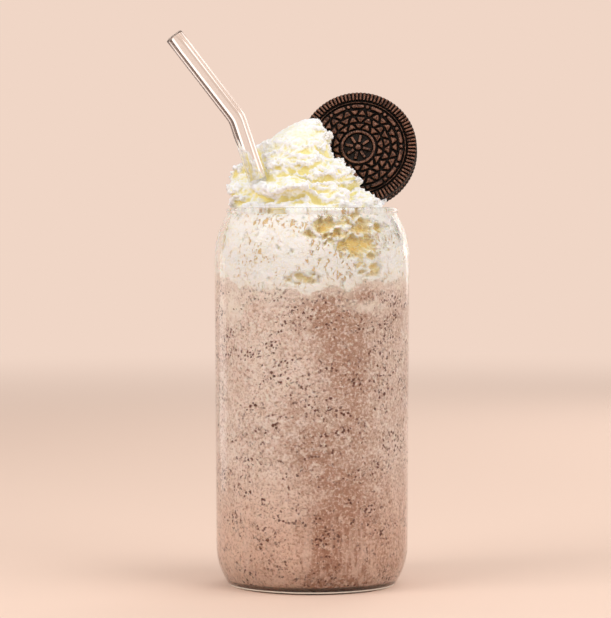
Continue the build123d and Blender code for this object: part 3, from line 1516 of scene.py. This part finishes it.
    def build(self, finish: Material) -> None:
        """Raise the ridges, tear them, and dress the mound.

        Args:
            finish: the cream's material.
        """
        skin = settled(self.blank(), self.coarse)
        for _ in range(self.smoothings):
            bmesh.ops.smooth_vert(
                skin, verts=skin.verts, factor=0.6, use_axis_x=True, use_axis_y=True, use_axis_z=True
            )
        bmesh.ops.subdivide_edges(skin, edges=skin.edges, cuts=1, use_grid_fill=True)
        self.ruffled(skin)
        skin = settled(skin, self.voxel)
        self.frilled(skin)
        show(skin, "cream_mound", finish, ["whipped_cream"])


class Side(Enum):
    """Which wafer of the cookie."""

    FRONT = "front"
    BACK = "back"


@dataclass
class Cookie:
    """Two embossed wafers with a filling that stays back from their edges. Millimetres."""

    tumbler: Tumbler
    radius: float = 22.6
    wafer: float = 3.4
    filling: float = 2.7
    inset: float = 2.8
    relief: float = 1.0
    edge: float = 0.5
    soft: float = 0.34
    ribs: int = 90
    rib_from: float = 18.9
    border_inset: float = 0.7
    dashes: int = 14
    dash_radius: float = 16.6
    dash_length: float = 4.6
    dash_width: float = 1.2
    wedges: tuple[tuple[float, int], ...] = ((14.0, 15), (11.2, 12), (8.5, 9))
    wedge_length: float = 2.6
    wedge_share: float = 0.44
    medal: float = 6.2
    medal_line: float = 0.75
    rays: int = 8
    ray_middle: float = 3.4
    ray_half: Point = (0.42, 1.35)
    knob: float = 1.35
    grain: float = 0.07
    groove: float = 0.16
    centre: Point = (17.7, 2.0)
    rise: float = 23.3
    lean: float = math.radians(17.0)
    turn: float = math.radians(3.5)
    roll: float = math.radians(-12.0)
    steps: int = 90
    cuts: int = 4
    spacing: float = 0.3
    filling_spacing: float = 0.5
    filling_corner: Point = (0.2, 0.4)
    filling_bulge: float = 0.1
    filling_uneven: float = 0.012

    def frame(self, side: Side) -> Matrix:
        """Place a wafer's outer face.

        Args:
            side: which wafer.

        Returns:
            The face's place, with its Z axis pointing out of the cookie.
        """
        facing = Vector((
            -math.sin(self.turn) * math.cos(self.lean),
            -math.cos(self.turn) * math.cos(self.lean),
            math.sin(self.lean),
        ))
        across = Vector((0, 0, 1)).cross(facing).normalized()
        across = Matrix.Rotation(self.roll, 3, facing) @ across
        middle = Vector((*self.centre, self.tumbler.height + self.rise))
        if side is Side.BACK:
            middle = middle - facing * (2 * self.wafer + self.filling)
            facing = -facing
        axes = Matrix((across, facing.cross(across), facing)).transposed().to_4x4()
        return Matrix.Translation(middle * MM) @ axes

    def pattern(self, reach: np.ndarray, turn: np.ndarray) -> np.ndarray:
        """Draw the raised pattern.

        Args:
            reach: distances from the wafer's middle, in millimetres.
            turn: angles round it, in radians.

        Returns:
            The pattern's height at each point, 0 to 1.
        """
        ribs = fade(np.cos(turn * self.ribs), -0.5, 0.45)
        ribs = ribs * fade(reach, self.rib_from, self.rib_from + 0.4)
        ribs = ribs * fade(reach, self.radius, self.radius - 0.5)
        border = 0.75 * fade(np.abs(reach - self.rib_from + self.border_inset), 0.45, 0.15)
        wedges = [self.wedge_ring(reach, turn, ring) for ring in range(len(self.wedges))]
        line = fade(np.abs(reach - self.medal) - self.medal_line / 2, self.soft, -0.05)
        half_width, half_length = self.ray_half
        across = np.abs(nearest(turn, math.tau / self.rays) * reach) - half_width
        along = np.abs(reach - self.ray_middle) - half_length
        rays = fade(np.maximum(across, along), self.soft, -0.05)
        knob = fade(reach, self.knob, self.knob * 2 / 3)
        return np.maximum.reduce([ribs, border, self.bars(reach, turn), *wedges, line, rays, knob])

    def bars(self, reach: np.ndarray, turn: np.ndarray) -> np.ndarray:
        """Draw a ring of rounded dashes with a dot between each two.

        Args:
            reach: distances from the wafer's middle, in millimetres.
            turn: angles round it, in radians.

        Returns:
            The ring's height at each point, 0 to 1.
        """
        step = math.tau / self.dashes
        local, between = (nearest(turn + start, step) * self.dash_radius for start in (0, step / 2))
        past = np.maximum(np.abs(local) - (self.dash_length - self.dash_width) / 2, 0)
        away = [np.hypot(along, reach - self.dash_radius) for along in (past, between)]
        return fade(np.minimum(*away) - self.dash_width / 2, self.soft, -0.1)

    def wedge_ring(self, reach: np.ndarray, turn: np.ndarray, ring: int) -> np.ndarray:
        """Draw a ring of wedges that point inwards and outwards by turns.

        Args:
            reach: distances from the wafer's middle, in millimetres.
            turn: angles round it, in radians.
            ring: which ring.

        Returns:
            The ring's height at each point, 0 to 1.
        """
        radius, pairs = self.wedges[ring]
        step = math.tau / pairs
        shift = step / 4 * (ring % 2)
        along = np.clip((reach - radius) / (self.wedge_length / 2), -1.3, 1.3)
        height = np.zeros(len(reach))
        for way, start in ((1, step / 2), (-1, 0.0)):
            local = nearest(turn + shift + start, step) * radius
            half = self.wedge_share * step / 2 * radius * (1 + 0.62 * way * along)
            away = np.maximum(np.abs(local) - half, (np.abs(along) - 1) * self.wedge_length / 2)
            height = np.maximum(height, fade(away, self.soft * 0.6, -0.95) ** 0.7)
        return height

    def wafer_piece(self, side: Side, finish: Material) -> None:
        """Spin a wafer, raise its pattern, and dress it.

        Args:
            side: which wafer.
            finish: its material.
        """
        inner = -self.wafer
        outline = [
            (self.radius - self.edge, inner),
            (self.radius, inner + self.edge),
            (self.radius, -self.edge - self.relief),
            (self.radius - self.edge * 0.3, -self.edge * 0.3 - self.relief),
            (self.radius - self.edge, -self.relief),
            (0.0, -self.relief),
        ]
        shell = spun([(0.0, inner)] + finer(outline, self.spacing), self.steps, self.cuts)
        points = places(shell)
        reach, _ = around(points)
        turn = np.arctan2(points[:, 1], points[:, 0])
        height = self.pattern(reach, turn)
        crumbly = rough(points, 1.0, 2.0 if side is Side.FRONT else 7.0)
        top = points[:, 2] > -self.relief - 0.01
        points[:, 2] += np.where(top, height * self.relief + crumbly * self.grain, 0.0)
        bite = fade(np.cos(turn * self.ribs), -0.1, -0.8) * self.groove / self.radius
        bite *= fade(reach, self.radius - 0.8, self.radius - 0.1)
        bite *= fade(points[:, 2], inner + 0.3, inner + 1.2)
        points[:, :2] *= (1 - bite)[:, None]
        put(shell, points)
        crease(shell, 60)
        # The relief's height, stored for the bump, the roughness, and the painted shade and highlight
        # in the wafer's colour.
        mark(shell, worn=np.clip(height + crumbly * 0.2, 0, 1))
        bmesh.ops.transform(shell, matrix=self.frame(side), verts=shell.verts)
        bmesh.ops.recalc_face_normals(shell, faces=shell.faces)
        show(shell, side.value + "_embossed_wafer", finish, [side.value + "_wafer"])

    def build(self, finish: Material) -> None:
        """Build both wafers and the filling.

        Args:
            finish: the wafers' material.
        """
        for side in Side:
            self.wafer_piece(side, finish)
        edge = self.radius - self.inset
        high, low = -self.wafer, -self.wafer - self.filling
        across, down = self.filling_corner
        outline = [
            (0.0, low), (edge - across, low), (edge, low + down),
            (edge + self.filling_bulge, low + self.filling / 2),
            (edge, high - down), (edge - across, high), (0.0, high),
        ]
        shell = spun(finer(outline, self.filling_spacing), self.steps, 1)
        points = places(shell)
        reach, _ = around(points)
        uneven = rough(points, 4.0, 3.0) * self.filling_uneven * fade(reach, edge - 2, edge - 0.5)
        points[:, :2] *= (1 + uneven)[:, None]
        put(shell, points)
        bmesh.ops.transform(shell, matrix=self.frame(Side.FRONT), verts=shell.verts)
        white = FillingFinish().make()
        show(shell, "cream_filling", white, ["cookie_filling"])


# ---------------------------------------------------------------- the studio


@dataclass(frozen=True)
class Lamp:
    """A soft lamp. Places and sizes in metres, power in watts."""

    name: str
    place: Triple
    width: float
    height: float
    power: float
    mirrored: bool = False
    lights: bool = True

    def hang(self, aim: Vector) -> None:
        """Add the lamp.

        Args:
            aim: the point that it is turned towards.
        """
        lamp = bpy.data.lights.new(self.name, "AREA")
        lamp.shape = "ELLIPSE"
        lamp.size = self.width
        lamp.size_y = self.height
        lamp.energy = self.power
        stand = hung(self.name, lamp)
        stand.location = self.place
        stand.rotation_euler = (aim - stand.location).to_track_quat("-Z", "Y").to_euler()
        stand.visible_camera = False
        stand.visible_diffuse = self.lights
        stand.visible_glossy = self.mirrored
        stand.visible_transmission = self.mirrored


@dataclass
class Studio:
    """Floor, backdrop, lamps and camera. Metres."""

    backdrop: Colour = srgb(240, 214, 198)
    floor: Colour = srgb(236, 208, 190)
    floor_radius: float = 6.0
    evenly: Colour = (1.0, 0.98, 0.96)
    ambient: float = 0.5
    eye: Triple = (-0.0025, -0.99, 0.145)
    pitch: float = 2.26
    lens: float = 150.0
    sensor: float = 36.0
    aim: Triple = (0.0, 0.0, 0.1)
    lamps: tuple[Lamp, ...] = (
        Lamp("key", (-0.8, -0.5, 0.7), 0.8, 0.8, 5.6),
        Lamp("fill", (0.85, -0.7, 0.45), 0.8, 0.8, 4.6),
        Lamp("side", (0.9, -0.1, 0.35), 0.5, 0.5, 1.1),
        Lamp("back", (0.35, 0.8, 0.6), 0.6, 0.6, 1.6),
        Lamp("top", (0.22, -0.12, 0.85), 0.35, 0.35, 1.3, mirrored=True),
        Lamp("glint", (-0.75, -0.3, 0.6), 0.12, 0.8, 0.35, mirrored=True),
        Lamp("strip", (0.45, 0.8, 0.42), 0.45, 0.75, 0.55, mirrored=True),
        Lamp("bounce", (-0.28, 0.21, 0.055), 0.12, 0.18, 0.04, mirrored=True, lights=False),
    )
    card: Triple = (0.46, 0.23, 0.42)
    card_size: float = 0.48

    def build(self) -> None:
        """Set the stage."""
        self.lay_floor()
        for lamp in self.lamps:
            lamp.hang(Vector(self.aim))
        self.hang_card()
        self.light_world()
        self.set_camera()

    def lay_floor(self) -> None:
        """Lay the round floor."""
        ground = bmesh.new()
        bmesh.ops.create_circle(ground, cap_ends=True, segments=96, radius=self.floor_radius)
        bmesh.ops.recalc_face_normals(ground, faces=ground.faces)
        solid(ground, "floor", FloorFinish(self.floor, self.backdrop).make())

    def hang_card(self) -> None:
        """Hang a dark card out of view, which draws dark lines in the straw's glass."""
        sheet = bmesh.new()
        bmesh.ops.create_grid(sheet, x_segments=1, y_segments=1, size=self.card_size / 2)
        card = solid(sheet, "dark_card", CardFinish().make())
        card.location = self.card
        to_middle = Vector((0, 0, self.card[2])) - card.location
        card.rotation_euler = to_middle.to_track_quat("Z", "Y").to_euler()
        card.visible_camera = False
        card.visible_diffuse = False
        card.visible_shadow = False

    def light_world(self) -> None:
        """Make a plain world that looks like the backdrop and lights the drink evenly."""
        world = bpy.data.worlds.new("studio")
        bpy.context.scene.world = world
        shader = Shader(world, "ShaderNodeOutputWorld")
        even, seen = (
            shader.node("ShaderNodeBackground", {}, {"Color": colour, "Strength": strength})
            for colour, strength in ((self.evenly, self.ambient), (self.backdrop, 1.0))
        )
        shader.finish(shader.either(shader.looked_at(), even, seen))

    def set_camera(self) -> None:
        """Place the camera at the lip's height, looking slightly down."""
        camera = bpy.data.cameras.new("camera")
        camera.lens = self.lens
        camera.sensor_width = self.sensor
        camera.sensor_fit = "AUTO"
        holder = hung("camera", camera)
        holder.location = self.eye
        holder.rotation_euler = Euler((math.radians(90 - self.pitch), 0, 0))
        bpy.context.scene.camera = holder


def main() -> None:
    """Build the drink and its studio."""
    bpy.context.scene.view_settings.view_transform = "Standard"
    tumbler = Tumbler()
    tumbler.measure()
    level = Level()
    drink_finish = DrinkFinish().make()
    wafer_finish = WaferFinish().make()
    Studio().build()
    tumbler.build()
    Shake(tumbler, level).build(drink_finish)
    Crumbs(tumbler, level).build(wafer_finish)
    PressedCream(tumbler, level).build(drink_finish)
    straw = Straw()
    CreamMound(tumbler, straw).build(CreamFinish().make())
    straw.build()
    Cookie(tumbler).build(wafer_finish)


if __name__ == "__main__":
    main()
